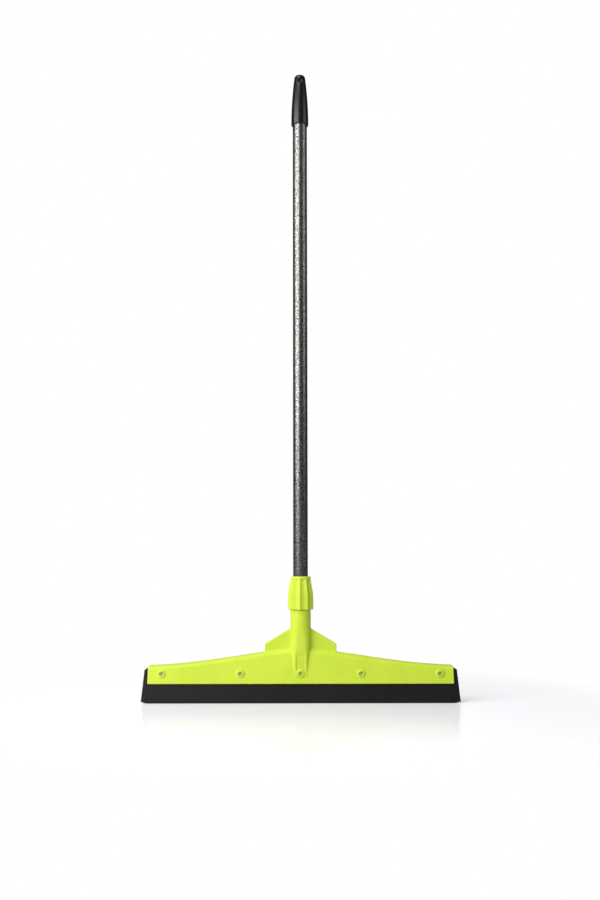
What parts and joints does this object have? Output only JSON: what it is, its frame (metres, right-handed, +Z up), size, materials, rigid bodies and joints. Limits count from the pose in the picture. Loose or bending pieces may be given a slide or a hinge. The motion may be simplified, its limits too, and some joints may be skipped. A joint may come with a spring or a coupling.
{
  "type": "floor squeegee",
  "caption": "Upright floor squeegee with a long moulded A-shaped head clamping leaning rubber lips, and a tubular handle locked in its socket by a twist collar.",
  "frame": {"origin": "on the floor, under the middle of the head and on the handle's axis", "axes": "+Z up along the handle, X along the blade, -Y the front with the bolt heads"},
  "size_m": [0.55, 0.0462, 1.1377],
  "materials": {
    "lime_plastic": "satin moulded polypropylene, lime",
    "lip_rubber": "matt black cellular rubber",
    "zinc_steel": "bright zinc plating",
    "collet_plastic": "grey moulded acetal",
    "hammertone_steel": "silver and black hammertone powder coat",
    "black_plastic": "satin black moulded plastic"
  },
  "bodies": {
    "head": {"head_shell": "lime_plastic", "spreader_bar": "lime_plastic", "front_lip": "lip_rubber", "rear_lip": "lip_rubber", "clamp_bolts": "zinc_steel", "clamp_nuts": "zinc_steel"},
    "collet": {"collet": "collet_plastic"},
    "collar": {"collar": "lime_plastic"},
    "handle": {"handle_tube": "hammertone_steel", "foot_plug": "black_plastic", "end_cap": "black_plastic"}
  },
  "joints": [
    {"name": "collet_lift", "type": "slide", "parent": "head", "child": "collet", "axis": [0, 0, 1], "range_m": [0, 0.006]},
    {"name": "collar_turn", "type": "hinge", "parent": "collet", "child": "collar", "pos_m": [0, 0, 0.188], "axis": [0, 0, 1], "range_deg": [0, 541]},
    {"name": "handle_draw", "type": "slide", "parent": "head", "child": "handle", "axis": [0, 0, 1], "range_m": [0, 0.115]}
  ],
  "couplings": [
    {"joint": "collar_turn", "follows": "collet_lift", "rad_per_m": 1570.8}
  ]
}
